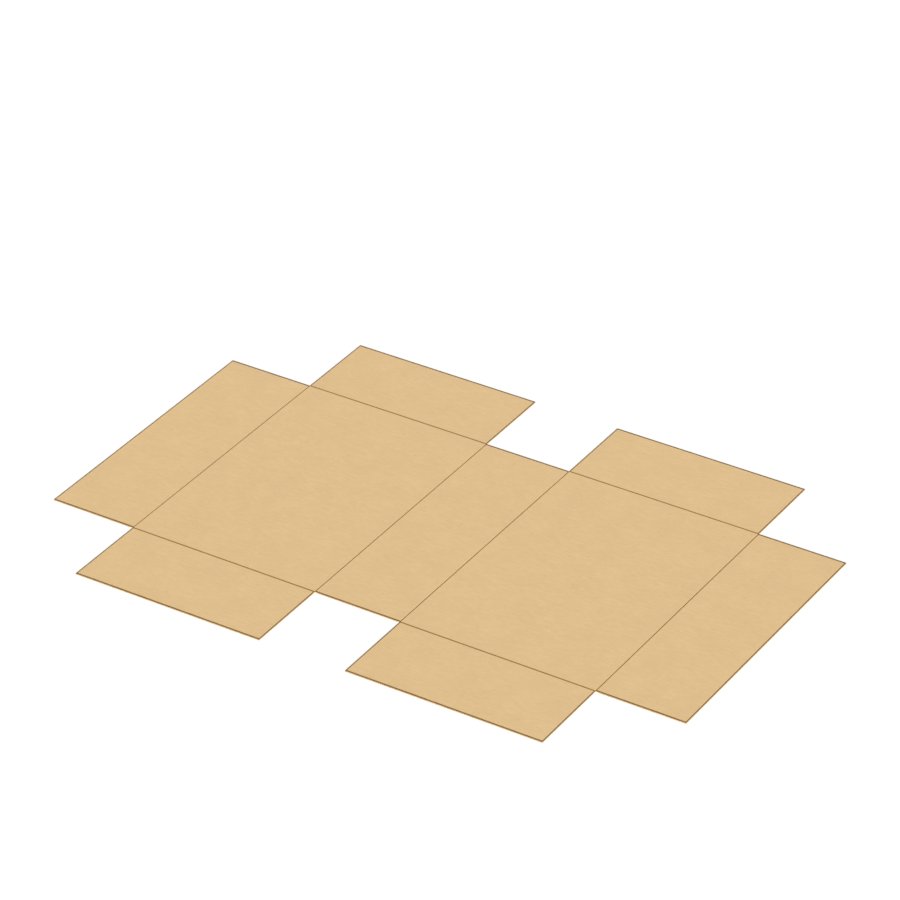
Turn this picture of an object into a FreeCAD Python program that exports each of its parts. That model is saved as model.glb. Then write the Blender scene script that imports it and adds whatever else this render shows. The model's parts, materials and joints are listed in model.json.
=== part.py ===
"""A flat die-cut blank of a hinged-lid cardboard box, lying inside face up.

One sheet of board holds nine panels. Along X run the front wall, the base, the back wall, the lid and
the lid front. The base and the lid each carry an end wall on both long sides. Creases part the panels.
Millimetres, +Z up. The origin is the middle of the underside, +X points from the base to the lid.
"""

import FreeCAD
import Part

import math
import os

# Box sizes, as the folded box would be measured
BOX_LENGTH = 329.0
BASE_WIDTH = 223.0
WALL_HEIGHT = 100.0
LID_WALL_HEIGHT = 100.0

# Board
BOARD_THICKNESS = 1.2
EDGE_ROUND = 0.2

# Creases, pressed into the inside face
CREASE_WIDTH = 1.8
CREASE_FLOOR = 0.65
CREASE_LIP = 0.03

# The lid closes over the base, so its panels are longer by the board that they pass over
LID_WIDTH = BASE_WIDTH + 2 * BOARD_THICKNESS
BACK_WALL_HEIGHT = WALL_HEIGHT + BOARD_THICKNESS
LID_FRONT_HEIGHT = LID_WALL_HEIGHT + BOARD_THICKNESS

# Lines across the strip, from its left end to its right end
PANEL_WIDTHS = [WALL_HEIGHT, BASE_WIDTH, BACK_WALL_HEIGHT, LID_WIDTH, LID_FRONT_HEIGHT]
STRIP_LEFT = -sum(PANEL_WIDTHS) / 2
BASE_LEFT = STRIP_LEFT + WALL_HEIGHT
BASE_RIGHT = BASE_LEFT + BASE_WIDTH
LID_LEFT = BASE_RIGHT + BACK_WALL_HEIGHT
LID_RIGHT = LID_LEFT + LID_WIDTH
STRIP_RIGHT = LID_RIGHT + LID_FRONT_HEIGHT

# Lines along the strip, on each side of its centre line
STRIP_SIDE = BOX_LENGTH / 2
BASE_END = STRIP_SIDE + WALL_HEIGHT
LID_END = STRIP_SIDE + LID_WALL_HEIGHT

UP = FreeCAD.Vector(0, 0, 1)


def outline_points():
    """The cut outline, counter-clockwise from the front left corner of the strip."""
    front = [
        (STRIP_LEFT, -STRIP_SIDE),
        (BASE_LEFT, -STRIP_SIDE),
        (BASE_LEFT, -BASE_END),
        (BASE_RIGHT, -BASE_END),
        (BASE_RIGHT, -STRIP_SIDE),
        (LID_LEFT, -STRIP_SIDE),
        (LID_LEFT, -LID_END),
        (LID_RIGHT, -LID_END),
        (LID_RIGHT, -STRIP_SIDE),
        (STRIP_RIGHT, -STRIP_SIDE),
    ]
    back = [(x, -y) for x, y in reversed(front)]
    return front + back


def cut_sheet():
    """The sheet before creasing. The cutting rule leaves the edge of the inside face rounded."""
    corners = [FreeCAD.Vector(x, y, 0) for x, y in outline_points()]
    face = Part.Face(Part.makePolygon(corners + corners[:1]))
    sheet = face.extrude(UP * BOARD_THICKNESS)
    rim = [edge for edge in sheet.Edges if edge.BoundBox.ZMin > BOARD_THICKNESS / 2]
    return sheet.makeFillet(min(EDGE_ROUND, BOARD_THICKNESS / 2), rim)


def crease_section():
    """The pressed channel's section in the XZ plane, its shoulders and bottom as equal tangent arcs."""
    half = CREASE_WIDTH / 2
    top = BOARD_THICKNESS + CREASE_LIP
    drop = top - CREASE_FLOOR
    radius = (half**2 + drop**2) / (4 * drop)
    mid_turn = math.asin(half / (2 * radius)) / 2

    def at(x, z):
        return FreeCAD.Vector(x, 0, z)

    def shoulder(side):
        on_arc = at(
            side * (half - radius * math.sin(mid_turn)),
            top - radius * (1 - math.cos(mid_turn)),
        )
        return Part.Arc(
            at(side * half, top), on_arc, at(side * half / 2, top - drop / 2)
        ).toShape()

    bottom = Part.Arc(
        at(-half / 2, top - drop / 2), at(0, CREASE_FLOOR), at(half / 2, top - drop / 2)
    ).toShape()
    lid = Part.makeLine(at(half, top), at(-half, top))
    return Part.Face(Part.Wire([shoulder(-1), bottom, shoulder(1), lid]))


def crease_along_y(x, y_from, y_to):
    """The channel of a crease that parts two panels of the strip."""
    section = crease_section()
    section.translate(FreeCAD.Vector(x, y_from, 0))
    return section.extrude(FreeCAD.Vector(0, y_to - y_from, 0))


def crease_along_x(y, x_from, x_to):
    """The channel of a crease that parts an end wall from its panel."""
    section = crease_section()
    section.rotate(FreeCAD.Vector(0, 0, 0), UP, 90)
    section.translate(FreeCAD.Vector(x_from, y, 0))
    return section.extrude(FreeCAD.Vector(x_to - x_from, 0, 0))


def creases():
    """All the channels, joined where they meet at the inner corners."""
    across = [
        crease_along_y(x, -STRIP_SIDE, STRIP_SIDE)
        for x in (BASE_LEFT, BASE_RIGHT, LID_LEFT, LID_RIGHT)
    ]
    along = [
        crease_along_x(y, left, right)
        for left, right in ((BASE_LEFT, BASE_RIGHT), (LID_LEFT, LID_RIGHT))
        for y in (-STRIP_SIDE, STRIP_SIDE)
    ]
    return across + along


def box_blank():
    """The whole blank: the cut sheet with its creases pressed in."""
    return cut_sheet().cut(creases())


os.makedirs("parts", exist_ok=True)
blank = box_blank()
blank.exportStep("parts/box_blank.step")
print(
    "box_blank",
    [round(v, 2) for v in (blank.BoundBox.XLength, blank.BoundBox.YLength, blank.BoundBox.ZLength)],
    "solids",
    len(blank.Solids),
    "valid",
    blank.isValid(),
    "volume",
    round(blank.Volume, 1),
)
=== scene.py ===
# %% [markdown]
# # A flat die-cut box blank in kraft board
# The object is one sheet of corrugated kraft board, cut to the outline of a hinged-lid box and creased
# where the walls will fold up. It is still flat and lies with its inside face up. The CAD model holds its
# outline and its creases. This lesson gives the sheet what a hand would find on it: pressed creases, an
# edge that the knife has crushed a little, the fluting in the cut, and the fibres of the paper.

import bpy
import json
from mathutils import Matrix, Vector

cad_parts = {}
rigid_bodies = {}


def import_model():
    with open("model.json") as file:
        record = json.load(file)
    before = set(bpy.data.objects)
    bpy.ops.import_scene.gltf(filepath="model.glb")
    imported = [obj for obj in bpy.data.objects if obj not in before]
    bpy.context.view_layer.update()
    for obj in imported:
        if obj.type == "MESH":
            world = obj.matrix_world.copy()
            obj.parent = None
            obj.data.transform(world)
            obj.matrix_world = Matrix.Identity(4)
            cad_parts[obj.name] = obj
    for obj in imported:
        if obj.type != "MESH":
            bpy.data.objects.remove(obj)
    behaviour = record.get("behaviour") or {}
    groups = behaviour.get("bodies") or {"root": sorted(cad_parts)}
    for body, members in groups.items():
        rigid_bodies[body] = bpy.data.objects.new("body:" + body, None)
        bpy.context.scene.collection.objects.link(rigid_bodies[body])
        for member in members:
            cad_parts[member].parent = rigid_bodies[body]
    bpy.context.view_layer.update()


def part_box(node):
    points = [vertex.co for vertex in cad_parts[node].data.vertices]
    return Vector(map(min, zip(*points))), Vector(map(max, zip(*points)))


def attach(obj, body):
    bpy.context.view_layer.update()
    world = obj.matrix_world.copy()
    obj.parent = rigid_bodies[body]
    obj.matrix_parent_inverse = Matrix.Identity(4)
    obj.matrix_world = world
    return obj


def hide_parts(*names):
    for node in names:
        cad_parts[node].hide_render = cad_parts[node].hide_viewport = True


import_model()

# %% Tools
import bmesh
import bpy
import json
import math
from mathutils import Vector

MM = 0.001

# %% [markdown]
# ## The sizes
# A box blank is laid out from the box that it will become. The base is as wide as the box. The lid closes
# over the base, so it is wider by one board on each side, and the back wall and the lid front, which turn
# with it, are each higher by one board. The board's thickness and the outer lines are read from the CAD
# solid, and the rest follows from the height of the walls and the width of the base.

# %% Lines of the blank
low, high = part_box("box_blank")
BOARD = high.z - low.z
WALL = 100 * MM
BASE = 223 * MM

STRIP_LEFT = low.x
BASE_LEFT = STRIP_LEFT + WALL
BASE_RIGHT = BASE_LEFT + BASE
LID_LEFT = BASE_RIGHT + WALL + BOARD
LID_RIGHT = LID_LEFT + BASE + 2 * BOARD
STRIP_RIGHT = LID_RIGHT + WALL + BOARD
END = high.y
SIDE = END - WALL

CREASE_LINES = (BASE_LEFT, BASE_RIGHT, LID_LEFT, LID_RIGHT)
END_WALLS = ((BASE_LEFT, BASE_RIGHT), (LID_LEFT, LID_RIGHT))
print("lines across the strip in mm:", [round(x / MM, 1) for x in (STRIP_LEFT, *CREASE_LINES, STRIP_RIGHT)])
print("the last line misses the CAD solid by", round((STRIP_RIGHT - high.x) / MM, 3), "mm")

# %% [markdown]
# ## The channel of a crease
# A creasing rule presses a round-bottomed channel into the board. Its shoulders and its bottom are arcs
# of one radius that meet in a smooth line, as in the CAD solid. It could be cut out of the sheet with a
# Boolean, but that leaves long thin faces that shade badly. Here the channel is a function instead: it
# gives the depth at any distance from the middle, and the sheet's own vertices are lowered by it.

# %% Depth of the channel
CREASE_HALF = 0.9 * MM
CREASE_FLOOR = 0.65 * MM
CREASE_DEPTH = BOARD - CREASE_FLOOR


def crease_dip(distance):
    """How far the channel lies under the sheet's face, at a distance from the crease's middle."""
    if distance >= CREASE_HALF:
        return 0.0
    radius = (CREASE_HALF**2 + CREASE_DEPTH**2) / (4 * CREASE_DEPTH)
    if distance > CREASE_HALF / 2:
        return radius - math.sqrt(radius**2 - (CREASE_HALF - distance) ** 2)
    return CREASE_DEPTH - radius + math.sqrt(radius**2 - distance**2)


print("channel depth at its middle:", round(crease_dip(0) / MM, 2), "mm")

# %% [markdown]
# ## Where the creases run
# The board's hollow flutes run along Y. Four creases follow them, between the panels of the strip, and
# four go across them, at the foot of each end wall. A rule that goes across the flutes crushes more of
# them than one that follows them, so its mark on the paper is wider than its channel. For every place of
# the sheet two things are worked out: how far off the creases are, and how strong their mark is there. A
# place counts as being on a line if it misses it by no more than a hair, a hundredth of a millimetre.

# %% Distance to the creases
HAIR = MM / 100
BRUISE_HALF = 1.5 * MM


def in_end_wall(x):
    """Whether a place across the strip lies in the base or the lid, which carry the end walls."""
    return any(left - HAIR <= x <= right + HAIR for left, right in END_WALLS)


def crease_distances(x, y):
    """How far the nearest creases are that run past this place, along and across the flutes."""
    along, across = math.inf, math.inf
    if abs(y) <= SIDE + HAIR:
        along = min(abs(x - line) for line in CREASE_LINES)
    if in_end_wall(x):
        across = abs(abs(y) - SIDE)
    return along, across


def crease_mark(x, y):
    """How strongly the rule has marked the paper here, from 0 to 1."""
    along, across = crease_distances(x, y)
    bruised = across * CREASE_HALF / BRUISE_HALF
    return crease_dip(min(along, bruised)) / CREASE_DEPTH


print("mark half a millimetre from a crease:", round(crease_mark(BASE_LEFT + MM / 2, 0), 2))

# %% [markdown]
# ## The rim beside a cut
# The knife that cuts the outline pushes the board down as well, so the sheet gets thinner just before a
# cut. As with the rule, more gives way where the knife goes across the flutes. The rim is worked out as a
# share from 0 to 1, which later gives both the crush and the darker paper. It is drawn wider than on most
# real blanks, because a real one would be lost at this distance.

# %% Distance to the cuts
RIM_ALONG = 1.7 * MM
RIM_ACROSS = 2.6 * MM


def rim_mark(x, y):
    """1 at a cut and 0 where the board has its full thickness again."""
    along, across = math.inf, math.inf
    if abs(y) <= SIDE + HAIR:
        along = min(x - STRIP_LEFT, STRIP_RIGHT - x)
        if not in_end_wall(x):
            across = SIDE - abs(y)
    if abs(y) >= SIDE - HAIR and in_end_wall(x):
        along = min(abs(x - line) for line in CREASE_LINES)
        across = END - abs(y)
    return min(1.0, max(0.0, 1 - along / RIM_ALONG, 1 - across / RIM_ACROSS))


print("rim one millimetre from the left cut:", round(rim_mark(STRIP_LEFT + MM, 0), 2))

# %% [markdown]
# ## The sheet
# A cut blank could be modelled by extruding its outline, but then it has no vertices where the creases
# run. Here one plane is cut by every line that the press leaves: a bundle of close lines along each
# crease and each rim. Each bundle ends in a line where the board is plain again, so that smooth shading
# stops there and the wide panels stay flat to the eye. A line that comes as near as a micrometre to a
# vertex snaps to it. The size of a new grid is half its side, so a size of 0.5 makes one metre, which is
# then scaled to the real length and width.

# %% Cutting the plane into lines
PLAIN_FROM = 2.9 * MM
LINE_STEP = 0.15 * MM
CLOSE_LINES = 10
BUNDLE = [step * LINE_STEP for step in range(CLOSE_LINES)] + [RIM_ALONG, RIM_ACROSS, PLAIN_FROM]
SNAP = MM / 1000


def add_rectangle(bm, left, right, front, back, steps=1):
    """A flat grid over a rectangle, with a number of steps along X."""
    made = bmesh.ops.create_grid(bm, x_segments=steps, y_segments=1, size=0.5)["verts"]
    bmesh.ops.scale(bm, vec=(right - left, back - front, 1), verts=made)
    bmesh.ops.translate(bm, vec=((left + right) / 2, (front + back) / 2, 0), verts=made)
    return made


def around(line):
    """The bundle of lines on both sides of a crease or a cut."""
    return [line + side * offset for side in (-1, 1) for offset in BUNDLE]


def cut_by_lines(bm, middles, axis):
    """Cuts the whole mesh at every line of the bundles, at right angles to an axis."""
    for line in sorted({line for middle in middles for line in around(middle)}):
        everything = bm.verts[:] + bm.edges[:] + bm.faces[:]
        bmesh.ops.bisect_plane(bm, geom=everything, dist=SNAP, plane_co=axis * line, plane_no=axis)


sheet = bmesh.new()
add_rectangle(sheet, STRIP_LEFT, STRIP_RIGHT, -END, END)
cut_by_lines(sheet, (STRIP_LEFT, *CREASE_LINES, STRIP_RIGHT), Vector((1, 0, 0)))
cut_by_lines(sheet, (-END, -SIDE, SIDE, END), Vector((0, 1, 0)))
print("plane cut into lines:", len(sheet.faces), "faces")

# %% [markdown]
# The knife cuts the waste out of the real sheet, between the end walls and at the four corners. A Boolean
# could do that here too. But the plane is already cut along these lines, so it is enough to delete the
# faces that lie beside the end walls.

# %% Cutting the corners away
waste = []
for face in sheet.faces:
    middle = face.calc_center_median()
    if abs(middle.y) > SIDE and not in_end_wall(middle.x):
        waste.append(face)
bmesh.ops.delete(sheet, geom=waste, context="FACES")
print("flat sheet:", len(sheet.faces), "faces")

# %% [markdown]
# ## Thickness and liners
# Corrugated board is three papers: a flat liner on each side and a waved one, the fluting, between them.
# Only the cut shows this. Stripes on the wall would look right from far off, but close by the board would
# be a solid bar. So the sheet is raised to its full thickness, and its walls are cut along the liners
# into three bands, of which the middle one can become a real groove. A cut can miss its height by a
# rounding error, so each vertex is then put on its exact level.

# %% Thickness and bands
LINER = 0.2 * MM
LEVELS = (0, LINER, BOARD - LINER, BOARD)


def is_wall(face):
    """Whether a face stands upright, as the cut does."""
    return round(face.normal.z) == 0


def give_thickness(bm):
    """Raises the sheet to its full thickness and cuts its walls along the liners."""
    raised = bmesh.ops.extrude_face_region(bm, geom=bm.faces[:])["geom"]
    top = [item for item in raised if isinstance(item, bmesh.types.BMVert)]
    bmesh.ops.translate(bm, vec=(0, 0, BOARD), verts=top)
    bmesh.ops.recalc_face_normals(bm, faces=bm.faces)
    for height in (LINER, BOARD - LINER):
        walls = [face for face in bm.faces if is_wall(face)]
        edges = [edge for edge in bm.edges if any(is_wall(face) for face in edge.link_faces)]
        verts = [vert for vert in bm.verts if any(is_wall(face) for face in vert.link_faces)]
        geometry = walls + edges + verts
        bmesh.ops.bisect_plane(bm, geom=geometry, dist=SNAP, plane_co=(0, 0, height), plane_no=(0, 0, 1))
    for vert in bm.verts:
        vert.co.z = min(LEVELS, key=lambda level: abs(vert.co.z - level))


give_thickness(sheet)
print("sheet with its walls:", len(sheet.faces), "faces")

# %% [markdown]
# ## The groove
# The middle band is pushed inwards, which leaves a groove between the liners for the fluting. Extruding a
# band of a closed body keeps the faces that it started from, so those are deleted. The groove stops short
# of the creases, because the rule has crushed the board shut there. At an outer corner two grooves meet,
# so the vertices next to it are held back at the corner's own place and then merged with it.

# %% The groove between the liners
GROOVE = 3 * MM


def hold_at_corner(vert):
    """Keeps a pushed vertex from passing the groove round the corner."""
    left, right, far = STRIP_LEFT, STRIP_RIGHT, SIDE
    if abs(vert.co.y) > SIDE:
        left, right = min(END_WALLS, key=lambda wall: abs(vert.co.x - sum(wall) / 2))
        far = END
    vert.co.x = min(max(vert.co.x, left + GROOVE), right - GROOVE)
    vert.co.y = min(max(vert.co.y, GROOVE - far), far - GROOVE)


def press_groove(bm):
    """Pushes the middle band of the walls inwards, clear of the creases."""
    band = []
    for face in bm.faces:
        middle = face.calc_center_median()
        if is_wall(face) and LINER < middle.z < BOARD - LINER:
            if min(crease_distances(middle.x, middle.y)) > PLAIN_FROM:
                band.append(face)
    pushed = bmesh.ops.extrude_face_region(bm, geom=band)["geom"]
    bmesh.ops.delete(bm, geom=band, context="FACES")
    outward = {}
    for face in pushed:
        if isinstance(face, bmesh.types.BMFace):
            for vert in face.verts:
                outward.setdefault(vert, set()).add(tuple(round(part) for part in face.normal))
    for vert, normals in outward.items():
        for normal in normals:
            vert.co -= GROOVE * Vector(normal)
        hold_at_corner(vert)
    bmesh.ops.remove_doubles(bm, verts=list(outward), dist=HAIR)
    bmesh.ops.recalc_face_normals(bm, faces=bm.faces)


press_groove(sheet)
open_edges = [edge for edge in sheet.edges if not edge.is_manifold]
print("body:", len(sheet.faces), "faces,", len(open_edges), "open edges")

# %% [markdown]
# ## What the press leaves
# The papers keep their own thickness under the press, and it is the fluting between them that gives way.
# So the lower liner stays where it is, the upper one comes down by what the press takes, and whatever
# lies between is squeezed. Everything in the sheet is pressed by this one rule, which keeps the channel,
# the rim and the liners in step. The knife's crush is raised to a power, so that the sheet curves down
# only close to the cut.

# %% The pressed thickness
RIM_CRUSH = 0.1 * MM
CRUSH_POWER = 3


def thickness_at(x, y):
    """The thickness that the rule and the knife leave at a place."""
    dip = crease_dip(min(crease_distances(x, y)))
    crush = RIM_CRUSH * rim_mark(x, y) ** CRUSH_POWER
    return BOARD - max(dip, crush)


def pressed(height, left):
    """Where a height in the plain board ends up in board of the thickness that is left."""
    if height <= LINER:
        return height
    if height >= BOARD - LINER:
        return height - (BOARD - left)
    return LINER + (height - LINER) * (left - 2 * LINER) / (BOARD - 2 * LINER)


print("thickness left in a crease:", round(thickness_at(BASE_LEFT, 0) / MM, 2), "mm")
print("thickness left at the cut:", round(thickness_at(STRIP_LEFT, 0) / MM, 2), "mm")

# %% [markdown]
# The loop that presses the sheet also writes two values to each vertex, which the finish reads later: how
# strongly the rule has marked the paper, and how near the cut is. Rule and knife come from above, so the
# lower face shows both only faintly. The walls and the groove get a material of their own first, while
# the two faces of the sheet can still be told by their height.

# %% Pressing the sheet
CREASE_BELOW = 0.3
RIM_BELOW = 0.2


def mark_cut(bm):
    """Gives the walls and the groove the second material, and leaves the two faces of the sheet the first."""
    for face in bm.faces:
        heights = [vert.co.z for vert in face.verts]
        faces_out = max(heights) < LINER / 2 or min(heights) > BOARD - LINER / 2
        face.material_index = 0 if faces_out else 1


def press(bm):
    """Presses every vertex and notes its crease and its rim."""
    crease = bm.verts.layers.float.new("crease")
    rim = bm.verts.layers.float.new("rim")
    for vert in bm.verts:
        x, y, z = vert.co
        above = z > BOARD / 2
        vert[crease] = crease_mark(x, y) * (1 if above else CREASE_BELOW)
        vert[rim] = rim_mark(x, y) * (1 if above else RIM_BELOW)
        vert.co.z = pressed(z, thickness_at(x, y))


mark_cut(sheet)
press(sheet)
print("faces of the cut:", sum(face.material_index for face in sheet.faces))

# %% [markdown]
# ## Shading and handing over
# The channels are round, so their faces are shaded smooth, and the cut is sharp. Marking each edge that
# turns more than a set angle as sharp keeps both. An extrusion leaves its new faces in an order that
# changes from run to run, so the mesh is sorted by place, and each run gives the same one. One function
# turns a finished mesh into a piece: it rides on the blank's one body, and it takes the materials that
# it is given.

# %% From mesh to piece
SHARP_FROM = math.radians(35)


def shade(bm):
    """Smooth faces, with sharp edges where the surface really turns."""
    for face in bm.faces:
        face.smooth = True
    for edge in bm.edges:
        edge.smooth = edge.calc_face_angle(0) < SHARP_FROM


def corners(part):
    """The places of the corners of a vertex, an edge or a face, in order."""
    verts = [part] if isinstance(part, bmesh.types.BMVert) else part.verts
    return sorted(tuple(vert.co) for vert in verts)


def sort_by_place(bm):
    """Numbers and sorts the parts of the mesh by where they are."""
    for parts in (bm.verts, bm.edges, bm.faces):
        for number, part in enumerate(sorted(parts, key=corners)):
            part.index = number
        parts.sort()


def make_piece(bm, name, materials):
    """The mesh as an object of the scene, on the blank's body."""
    shade(bm)
    sort_by_place(bm)
    mesh = bpy.data.meshes.new(name)
    bm.to_mesh(mesh)
    bm.free()
    for material in materials:
        mesh.materials.append(material)
    piece = bpy.data.objects.new(name, mesh)
    bpy.context.scene.collection.objects.link(piece)
    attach(piece, "root")
    print(name, "has", len(mesh.polygons), "faces")
    return piece


print("edges are sharp from", round(math.degrees(SHARP_FROM)), "degrees")

# %% [markdown]
# ## The fluting
# The fluting is one paper that hot rollers have pressed into waves. The waves run along the box's long
# side here, so the cuts at the front and back go across them and show the wave, and the other cuts run
# along one flute and show its slope. One wave could be made and repeated, but it would have to be trimmed
# at every corner. So each run of the groove gets a flat grid, its vertices are lifted to the wave, and the
# paper's thickness is extruded upwards. A flute is drawn in eight steps, which looks round at this size.

# %% Waved paper
FLUTE_PITCH = 2.4 * MM
FLUTE_STEPS = 8
FLUTING = 0.14 * MM
WAVE_HEIGHT = BOARD - RIM_CRUSH - 2 * LINER - FLUTING


def wave(x):
    """The height of the fluting's lower face. The same wave runs through the whole blank."""
    return LINER + WAVE_HEIGHT * (1 + math.cos(2 * math.pi * x / FLUTE_PITCH)) / 2


def add_fluting(bm, left, right, front, back):
    """A stretch of waved paper over a rectangle."""
    steps = math.ceil((right - left) / FLUTE_PITCH * FLUTE_STEPS)
    made = add_rectangle(bm, left, right, front, back, steps)
    for vert in made:
        vert.co.z = wave(vert.co.x)
    faces = list(dict.fromkeys(face for vert in made for face in vert.link_faces))
    raised = bmesh.ops.extrude_face_region(bm, geom=faces)["geom"]
    upper = [item for item in raised if isinstance(item, bmesh.types.BMVert)]
    bmesh.ops.translate(bm, vec=(0, 0, FLUTING), verts=upper)


print("the wave rises by", round(WAVE_HEIGHT / MM, 2), "mm")

# %% [markdown]
# The groove has twenty straight runs, between one corner or crease and the next. A run along Y ends where
# the one along X begins. The paper springs back a little behind the liners, and two runs that meet at a
# corner stay a little apart, so that no two meshes share a face.

# %% The runs of the groove
SPRING_BACK = 0.1 * MM
APART = 0.05 * MM


def end_gap(line):
    """How far a run stays from its end: the crushed stretch at a crease, or the spring-back at a corner."""
    return SPRING_BACK if line in (STRIP_LEFT, STRIP_RIGHT) else PLAIN_FROM


def mirrored(near, far, side):
    """A stretch along Y on one side of the blank's middle line, from its lower end."""
    return sorted((side * near, side * far))


def groove_runs():
    """Each straight run of the groove, as its left, right, front and back."""
    open_panels = ((STRIP_LEFT, BASE_LEFT), (BASE_RIGHT, LID_LEFT), (LID_RIGHT, STRIP_RIGHT))
    runs = []
    for side in (-1, 1):
        for left, right in open_panels:
            stretch = mirrored(SIDE - GROOVE, SIDE - SPRING_BACK, side)
            runs.append((left + end_gap(left), right - end_gap(right), *stretch))
        for left, right in END_WALLS:
            stretch = mirrored(END - GROOVE, END - SPRING_BACK, side)
            runs.append((left + SPRING_BACK, right - SPRING_BACK, *stretch))
            flank = mirrored(SIDE + PLAIN_FROM, END - GROOVE - APART, side)
            runs.append((left + SPRING_BACK, left + GROOVE, *flank))
            runs.append((right - GROOVE, right - SPRING_BACK, *flank))
    reach = SIDE - GROOVE - APART
    strip_end = (-reach, reach)
    runs.append((STRIP_LEFT + SPRING_BACK, STRIP_LEFT + GROOVE, *strip_end))
    runs.append((STRIP_RIGHT - GROOVE, STRIP_RIGHT - SPRING_BACK, *strip_end))
    return runs


fluting = bmesh.new()
for run in groove_runs():
    add_fluting(fluting, *run)
bmesh.ops.recalc_face_normals(fluting, faces=fluting.faces)
print("fluting:", len(groove_runs()), "runs,", len(fluting.faces), "faces")

# %% [markdown]
# ## Colours and nodes
# Colours are written as they look on a screen, in sRGB hex, and turned to the linear values that light
# is worked out in. At a scale of 1 a pattern has features about a metre wide, so a size in millimetres
# becomes the scale that shrinks them to it. One function adds a node, whatever its kind.

# %% Helpers for finishes
def linear(hex_colour):
    """An sRGB hex colour as linear red, green, blue and alpha."""
    parts = [int(hex_colour[place : place + 2], 16) / 255 for place in (1, 3, 5)]
    return [part / 12.92 if part <= 0.04045 else ((part + 0.055) / 1.055) ** 2.4 for part in parts] + [1.0]


def per_metre(size_mm):
    """The scale that gives a pattern features of this size."""
    return 1 / (size_mm * MM)


def add_node(tree, kind, sockets=None, **settings):
    """Adds one node. A socket takes a value, or another node's output to be linked to."""
    made = tree.nodes.new("ShaderNode" + kind)
    for name, value in settings.items():
        setattr(made, name, value)
    for name, value in (sockets or {}).items():
        if isinstance(value, bpy.types.NodeSocket):
            tree.links.new(value, made.inputs[name])
        else:
            made.inputs[name].default_value = value
    return made


def new_material(name):
    """An empty node material, with its tree."""
    material = bpy.data.materials.new(name)
    material.use_nodes = True
    material.node_tree.nodes.clear()
    return material, material.node_tree


# A Mix node keeps its sockets for numbers and for colours side by side, so they are picked by place
NUMBER_A, NUMBER_B, NUMBER_OUT = 2, 3, 0
COLOUR_A, COLOUR_B, COLOUR_OUT = 6, 7, 2

print("kraft face in linear light:", [round(part, 3) for part in linear("#E0BF8F")[:3]])

# %% [markdown]
# ## Kraft liner
# The faces are kraft liner: unbleached paper of long softwood fibres, drawn out on a wire and pressed
# between rollers. To the eye it is a warm tan without gloss. Looked at closely it is a little cloudy over
# a few centimetres, its fibres lie mostly along the machine's direction, which is across the flutes, and
# bits of bark and stray pale fibres lie in it. A picture of paper could be laid over the sheet, but noise
# has no seams and keeps its size in millimetres. Real fibres are some hundredths of a millimetre thick.
# They are drawn here as bundles of 2 by 9 mm, because anything finer is lost at this distance.

# %% Kraft liner: its fibres
KRAFT_THICK = "#D1B183"
KRAFT_THIN = "#EBC894"

CLOUD_MM = 35
FIBRE_WIDTH_MM = 2
FIBRE_LENGTH_MM = 9
FIBRE_SHARE = 0.65

liner, tree = new_material("kraft_linerboard_machine_finished")
place = add_node(tree, "TexCoord").outputs["Object"]
cloud = add_node(tree, "TexNoise", {"Vector": place, "Scale": per_metre(CLOUD_MM), "Detail": 3})
fibre_size = (FIBRE_LENGTH_MM * MM, FIBRE_WIDTH_MM * MM, FIBRE_WIDTH_MM * MM)
along_machine = add_node(tree, "Mapping", {"Vector": place, "Scale": fibre_size}, vector_type="TEXTURE")
fibres = add_node(tree, "TexNoise", {"Vector": along_machine.outputs[0], "Scale": 1, "Detail": 5})
sockets = {0: FIBRE_SHARE, NUMBER_A: cloud.outputs[0], NUMBER_B: fibres.outputs[0]}
grain = add_node(tree, "Mix", sockets).outputs[NUMBER_OUT]
sockets = {0: grain, COLOUR_A: linear(KRAFT_THICK), COLOUR_B: linear(KRAFT_THIN)}
colour = add_node(tree, "Mix", sockets, data_type="RGBA").outputs[COLOUR_OUT]
print("fibre bundles:", FIBRE_LENGTH_MM, "x", FIBRE_WIDTH_MM, "mm")

# %% [markdown]
# Bark and pale fibres are single specks, so they come from cells with one point each. A cell is stretched
# to the length and width of a speck's surroundings and turned, and a speck is what lies close to the point.
# Each cell brings random numbers of its own: one picks the cells that have a speck, and another sets its
# size. Two layers of each kind, turned against each other, keep the specks from all pointing one way, and
# a coarse noise bends them, because no fibre in a sheet lies straight. The noise keeps near its middle
# value, so it moves a place by only about a fifth of the bend.

# %% Kraft liner: specks
BARK = "#8E6B3E"
PALE_FIBRE = "#F2E0C0"
SPECKS = (
    # colour, degrees from the machine's direction, share of cells, strength
    (BARK, 12, 0.08, 0.28),
    (BARK, -38, 0.06, 0.22),
    (PALE_FIBRE, 24, 0.16, 0.3),
    (PALE_FIBRE, -17, 0.16, 0.25),
)
CELL = (13 * MM, 3.2 * MM, 1)
SPECK_HEART, SPECK_SMALL, SPECK_LARGE = 0.03, 0.06, 0.18
BENDS_MM = 3
BEND = 2.4 * MM

bends = add_node(tree, "TexNoise", {"Vector": place, "Scale": per_metre(BENDS_MM), "Detail": 1})
sockets = {0: bends.outputs["Color"], 1: (BEND, BEND, 0), 2: place}
bent = add_node(tree, "VectorMath", sockets, operation="MULTIPLY_ADD").outputs[0]

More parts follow.
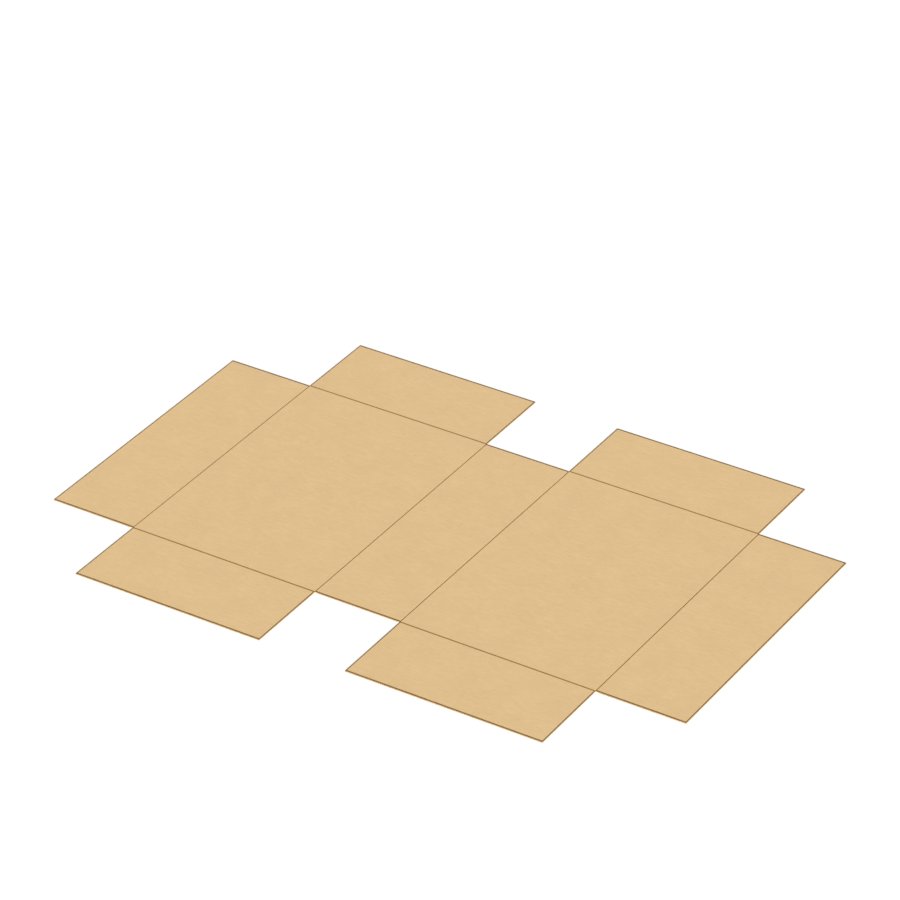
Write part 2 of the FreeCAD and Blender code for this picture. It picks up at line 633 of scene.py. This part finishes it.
for speck_colour, degrees, share, strength in SPECKS:
    turn = (0, 0, math.radians(degrees))
    sockets = {"Vector": bent, "Location": (degrees * MM, 0, 0), "Rotation": turn, "Scale": CELL}
    turned = add_node(tree, "Mapping", sockets, vector_type="TEXTURE")
    cells = add_node(tree, "TexVoronoi", {"Vector": turned.outputs[0], "Scale": 1}, voronoi_dimensions="2D")
    chance = add_node(tree, "SeparateColor", {"Color": cells.outputs["Color"]})
    chosen = add_node(tree, "Math", {0: chance.outputs["Red"], 1: share}, operation="LESS_THAN")
    sockets = {0: chance.outputs["Green"], 1: SPECK_LARGE - SPECK_SMALL, 2: SPECK_SMALL}
    reach = add_node(tree, "Math", sockets, operation="MULTIPLY_ADD")
    sockets = {"Value": cells.outputs["Distance"], 1: reach.outputs[0], 2: SPECK_HEART, 3: 0, 4: strength}
    near = add_node(tree, "MapRange", sockets, interpolation_type="SMOOTHSTEP")
    speck = add_node(tree, "Math", {0: near.outputs[0], 1: chosen.outputs[0]}, operation="MULTIPLY")
    sockets = {0: speck.outputs[0], COLOUR_A: colour, COLOUR_B: linear(speck_colour)}
    colour = add_node(tree, "Mix", sockets, data_type="RGBA").outputs[COLOUR_OUT]
print("a speck is up to", round(2 * SPECK_LARGE * CELL[0] / MM, 1), "mm long")

# %% [markdown]
# Where the rule has pressed, the fibres lie closer and the paper looks darker and slightly polished, and the
# crease tone is darker still: it also paints in the shade of the channel. The rim beside a cut is drawn
# darker too, as a dark band along every cut.
# Both follow the values that the press wrote to the vertices. The fibres are added to these values before
# the mark is drawn, which frays its edge, and they make the mark itself a little uneven.

# %% Kraft liner: creases and rims
FRAY = 0.35
MARKS = (
    # value, dark tone, pale tone, where the mark starts, where it is full
    # crease tones: darker pressed paper, and painted shade of the channel as well
    ("crease", "#775826", "#91703A", 0.26, 0.62),
    # rim tones: a darker band drawn along every cut
    ("rim", "#634920", "#816436", 0.3, 0.5),
)
MARK_STRENGTH = 0.95

shares = {}
for name, dark, pale, starts, full in MARKS:
    value = add_node(tree, "Attribute", attribute_name=name).outputs["Fac"]
    sockets = {0: fibres.outputs[0], 1: FRAY, 2: value}
    frayed = add_node(tree, "Math", sockets, operation="MULTIPLY_ADD").outputs[0]
    sockets = {"Value": frayed, 1: starts, 2: full, 3: 0, 4: MARK_STRENGTH}
    shares[name] = add_node(tree, "MapRange", sockets, interpolation_type="SMOOTHSTEP").outputs[0]
    sockets = {0: fibres.outputs[0], COLOUR_A: linear(dark), COLOUR_B: linear(pale)}
    tone = add_node(tree, "Mix", sockets, data_type="RGBA").outputs[COLOUR_OUT]
    sockets = {0: shares[name], COLOUR_A: colour, COLOUR_B: tone}
    colour = add_node(tree, "Mix", sockets, data_type="RGBA").outputs[COLOUR_OUT]
print("marks of the press:", ", ".join(shares))

# %% [markdown]
# Paper is rough, with a trace of polish where it was pressed. Its fibres are cellulose, which bends light
# about as glass does, but its open pores swallow about half of the gloss that a solid would show, so the
# shader's usual 0.5 is halved. The relief is the fibres and the washboarding, the faint ripple that the
# flutes' glue lines leave in the liner. The real ripple repeats every flute. It is drawn twice as wide,
# because single flutes would flicker at this distance.

# %% Kraft liner: roughness and relief
PAPER_IOR = 1.47
PAPER_GLOSS = 0.25
PLAIN_ROUGHNESS, THIN_ROUGHNESS, PRESSED_ROUGHNESS = 0.9, 0.8, 0.75
RELIEF = 0.05 * MM
RELIEF_STRENGTH = 0.6
WASHBOARD_MM = 4.8
WASHBOARD_SHARE = 0.35
WAVE_NODE_PERIOD = 2 * math.pi / 20

sockets = {0: grain, NUMBER_A: PLAIN_ROUGHNESS, NUMBER_B: THIN_ROUGHNESS}
roughness = add_node(tree, "Mix", sockets).outputs[NUMBER_OUT]
sockets = {0: shares["crease"], NUMBER_A: roughness, NUMBER_B: PRESSED_ROUGHNESS}
roughness = add_node(tree, "Mix", sockets).outputs[NUMBER_OUT]
sockets = {"Vector": place, "Scale": WAVE_NODE_PERIOD * per_metre(WASHBOARD_MM)}
ripple = add_node(tree, "TexWave", sockets, bands_direction="X")
sockets = {0: WASHBOARD_SHARE, NUMBER_A: fibres.outputs[0], NUMBER_B: ripple.outputs["Fac"]}
height = add_node(tree, "Mix", sockets).outputs[NUMBER_OUT]
relief = add_node(tree, "Bump", {"Height": height, "Distance": RELIEF, "Strength": RELIEF_STRENGTH})
sockets = {
    "Base Color": colour,
    "Roughness": roughness,
    "Normal": relief.outputs[0],
    "IOR": PAPER_IOR,
    "Specular IOR Level": PAPER_GLOSS,
}
paper = add_node(tree, "BsdfPrincipled", sockets)
add_node(tree, "OutputMaterial", {"Surface": paper.outputs[0]})
print(liner.name, "has", len(tree.nodes), "nodes")

# %% [markdown]
# ## The cut
# A fresh cut is torn fibre: as pale as the liner, fuzzy and without any polish, and mottled over about a
# millimetre, in patches that are flatter than they are wide because the papers lie flat. The fluting is a
# plainer paper, a little browner, with its mottling drawn out along the flutes. Both are the same kind of
# finish, so one function makes them from two tones, the size of their patches and a roughness.

# %% Cut liner and fluting paper
CUT_DARK, CUT_PALE = "#D0AE7E", "#EACC9E"
CUT_PATCH_MM = (1.2, 1.2, 0.6)
CUT_ROUGHNESS = 0.93
FLUTING_DARK, FLUTING_PALE = "#BD9968", "#DAB886"
FLUTING_PATCH_MM = (1.5, 4, 1.5)
FLUTING_ROUGHNESS = 0.9
ROUGHNESS_SWING = 0.05


def fibrous(name, dark, pale, patch_mm, roughness):
    """A matt paper that is mottled in two tones."""
    material, tree = new_material(name)
    place = add_node(tree, "TexCoord").outputs["Object"]
    size = tuple(part * MM for part in patch_mm)
    mapping = add_node(tree, "Mapping", {"Vector": place, "Scale": size}, vector_type="TEXTURE")
    patches = add_node(tree, "TexNoise", {"Vector": mapping.outputs[0], "Scale": 1, "Detail": 2})
    sockets = {0: patches.outputs[0], COLOUR_A: linear(dark), COLOUR_B: linear(pale)}
    colour = add_node(tree, "Mix", sockets, data_type="RGBA").outputs[COLOUR_OUT]
    swing = {"Value": patches.outputs[0], 3: roughness - ROUGHNESS_SWING, 4: roughness + ROUGHNESS_SWING}
    rough = add_node(tree, "MapRange", swing)
    relief = add_node(tree, "Bump", {"Height": patches.outputs[0], "Distance": RELIEF})
    sockets = {
        "Base Color": colour,
        "Roughness": rough.outputs[0],
        "Normal": relief.outputs[0],
        "IOR": PAPER_IOR,
        "Specular IOR Level": PAPER_GLOSS,
    }
    paper = add_node(tree, "BsdfPrincipled", sockets)
    add_node(tree, "OutputMaterial", {"Surface": paper.outputs[0]})
    return material


cut_paper = fibrous("kraft_board_die_cut", CUT_DARK, CUT_PALE, CUT_PATCH_MM, CUT_ROUGHNESS)
fluting_paper = fibrous(
    "semichemical_fluting_corrugated", FLUTING_DARK, FLUTING_PALE, FLUTING_PATCH_MM, FLUTING_ROUGHNESS
)

blank = make_piece(sheet, "kraft_blank", [liner, cut_paper])
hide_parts("box_blank")
make_piece(fluting, "cut_edge_fluting", [fluting_paper])

# %% [markdown]
# ## Floor
# The blank lies on a plain white floor. The light is set so that a colour renders as it is written, and
# a matt white paint would then come out pale grey. So the floor adds a little light of its own, but only
# for rays that come from the camera or from a gloss or a glass. The blank isn't lit by it, and its
# shadow stays. The floor lies a little below the blank, so that the two never share a plane.

# %% White floor
FLOOR_HALF = 5
FLOOR_GAP = 0.05 * MM
FLOOR_PAINT = 0.8
FLOOR_LIFT = 0.25


def seen_share(tree):
    """1 for rays of the camera, a gloss or a glass, and 0 for the rest."""
    path = add_node(tree, "LightPath")
    share = path.outputs["Is Camera Ray"]
    for kind in ("Is Glossy Ray", "Is Transmission Ray"):
        share = add_node(tree, "Math", {0: share, 1: path.outputs[kind]}, operation="MAXIMUM").outputs[0]
    return share


white_paint, tree = new_material("white_studio_floor_matt")
lift = add_node(tree, "Math", {0: seen_share(tree), 1: FLOOR_LIFT}, operation="MULTIPLY")
painted = add_node(tree, "BsdfDiffuse", {"Color": (FLOOR_PAINT, FLOOR_PAINT, FLOOR_PAINT, 1)})
glow = add_node(tree, "Emission", {"Strength": lift.outputs[0]})
both = add_node(tree, "AddShader", {0: painted.outputs[0], 1: glow.outputs[0]})
add_node(tree, "OutputMaterial", {"Surface": both.outputs[0]})

floor_mesh = bpy.data.meshes.new("floor")
bm = bmesh.new()
add_rectangle(bm, -FLOOR_HALF, FLOOR_HALF, -FLOOR_HALF, FLOOR_HALF)
bmesh.ops.translate(bm, vec=(0, 0, low.z - FLOOR_GAP), verts=bm.verts)
bm.to_mesh(floor_mesh)
bm.free()
floor_mesh.materials.append(white_paint)
floor = bpy.data.objects.new("floor", floor_mesh)
bpy.context.scene.collection.objects.link(floor)
print("floor:", 2 * FLOOR_HALF, "m wide")

# %% [markdown]
# ## Light
# Lamps that stand near a wide flat sheet would brighten one end of it. A white room and a sun lamp light
# every panel alike. The room gives about half of the light, from everywhere, and the lamp, made broad and
# soft, gives the rest. It stands on the camera's side, a little to the right and lower than the camera. So
# the cuts that the camera sees are lit, and the blank's thin shadow falls behind it, long enough for a
# line of it to show along the far edges. The two are set to add up to 1 on a level face, which is what
# makes a colour render as it is written. A sun lamp of strength s lights a face by s times the cosine of
# its slant over pi.

# %% Room and lamp
ROOM = 0.45
LAMP = 1 - ROOM
LAMP_AZIMUTH = math.radians(36)
LAMP_ELEVATION = math.radians(26)
LAMP_SPREAD = math.radians(30)

world = bpy.data.worlds.new("white_room")
bpy.context.scene.world = world
world.use_nodes = True
tree = world.node_tree
tree.nodes.clear()
sockets = {"Value": seen_share(tree), 3: ROOM, 4: 1}
strength = add_node(tree, "MapRange", sockets).outputs[0]
room = add_node(tree, "Background", {"Color": (1, 1, 1, 1), "Strength": strength})
add_node(tree, "OutputWorld", {"Surface": room.outputs[0]})

lamp_data = bpy.data.lights.new("soft_lamp", "SUN")
lamp_data.energy = LAMP * math.pi / math.sin(LAMP_ELEVATION)
lamp_data.angle = LAMP_SPREAD
lamp = bpy.data.objects.new("soft_lamp", lamp_data)
lamp.rotation_euler = (math.pi / 2 - LAMP_ELEVATION, 0, LAMP_AZIMUTH)
bpy.context.scene.collection.objects.link(lamp)
print("lamp strength:", round(lamp_data.energy, 3))

# %% [markdown]
# ## Camera
# The picture was taken from far away with a long lens, so the blank's long sides stay nearly parallel.
# The camera isn't tilted sideways, and the place that it looks at, its distance and its lens were found
# by fitting the corners of the blank to the picture.

# %% Camera
AIM = Vector((-79.7, 135.5, 0)) * MM
AZIMUTH = math.radians(31.98)
ELEVATION = math.radians(32.154)
DISTANCE = 4.925
LENS_MM = 187.3

scene = bpy.context.scene
back = Vector(
    (
        math.sin(AZIMUTH) * math.cos(ELEVATION),
        -math.cos(AZIMUTH) * math.cos(ELEVATION),
        math.sin(ELEVATION),
    )
)
camera_data = bpy.data.cameras.new("camera")
camera_data.lens = LENS_MM
camera = bpy.data.objects.new("camera", camera_data)
camera.location = AIM + DISTANCE * back
camera.rotation_euler = (math.pi / 2 - ELEVATION, 0, AZIMUTH)
scene.collection.objects.link(camera)
scene.camera = camera
scene.view_settings.view_transform = "Standard"
print("camera stands at", [round(value, 2) for value in camera.location], "m")

bpy.context.view_layer.update()
